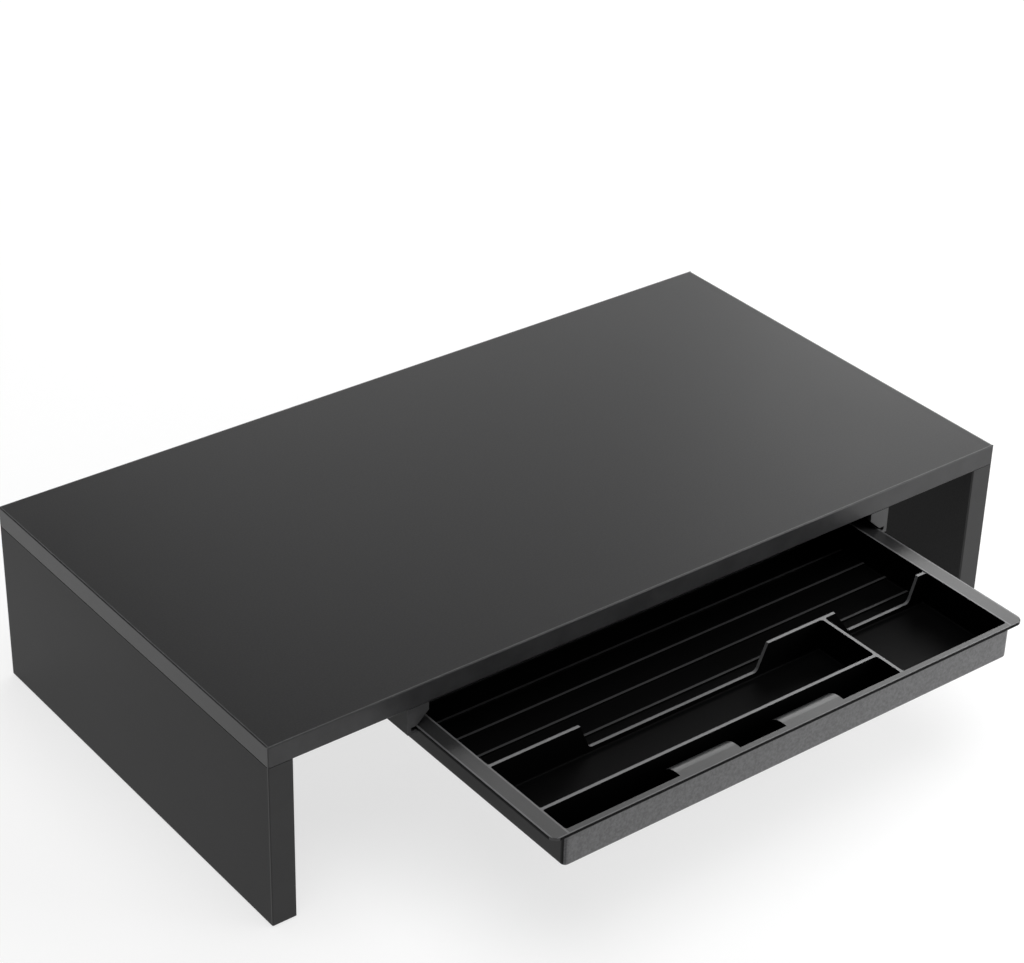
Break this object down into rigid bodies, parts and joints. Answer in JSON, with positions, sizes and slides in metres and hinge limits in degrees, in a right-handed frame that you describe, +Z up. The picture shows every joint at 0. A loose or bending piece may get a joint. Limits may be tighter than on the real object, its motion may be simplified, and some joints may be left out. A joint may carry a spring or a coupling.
{
  "type": "laptop stand with drawer",
  "caption": "Low black stand: a flat board on side panels, with a shallow divided tray that slides out from beneath on channel rails.",
  "frame": {"origin": "on the floor, at the middle of the footprint of the whole object with its tray pulled out as at rest", "axes": "+X to the right as seen from the front, along the board's length; +Y to the back; +Z up; the tray slides out toward -Y"},
  "size_m": [0.48, 0.3678, 0.108],
  "materials": {
    "board_laminate": "black fine-grained melamine on board, semi-matt",
    "edge_strip": "black, fine-grained, semi-matt",
    "tray_plastic": "black moulded, finely textured",
    "rail_plastic": "black, smooth matt",
    "beech": "plain turned",
    "zinc": "zinc plated, dull",
    "screw_steel": "blackened",
    "cap_plastic": "black, smooth matt",
    "pad_rubber": "soft matt"
  },
  "bodies": {
    "stand": {"top_board": "board_laminate", "top_front_edging": "edge_strip", "top_rear_edging": "edge_strip", "top_left_edging": "edge_strip", "top_right_edging": "edge_strip", "left_side_panel": "board_laminate", "right_side_panel": "board_laminate", "left_panel_front_edging": "edge_strip", "left_panel_rear_edging": "edge_strip", "right_panel_front_edging": "edge_strip", "right_panel_rear_edging": "edge_strip", "dowels": "beech", "cam_bolts": "zinc", "cam_locks": "zinc", "cam_caps": "cap_plastic", "foot_pads": "pad_rubber", "left_rail": "rail_plastic", "right_rail": "rail_plastic", "rail_screws": "screw_steel"},
    "drawer": {"drawer_tray": "tray_plastic"}
  },
  "joints": [
    {"name": "drawer_slide", "type": "slide", "parent": "stand", "child": "drawer", "axis": [0, -1, 0], "range_m": [-0.1088, 0.071]}
  ]
}
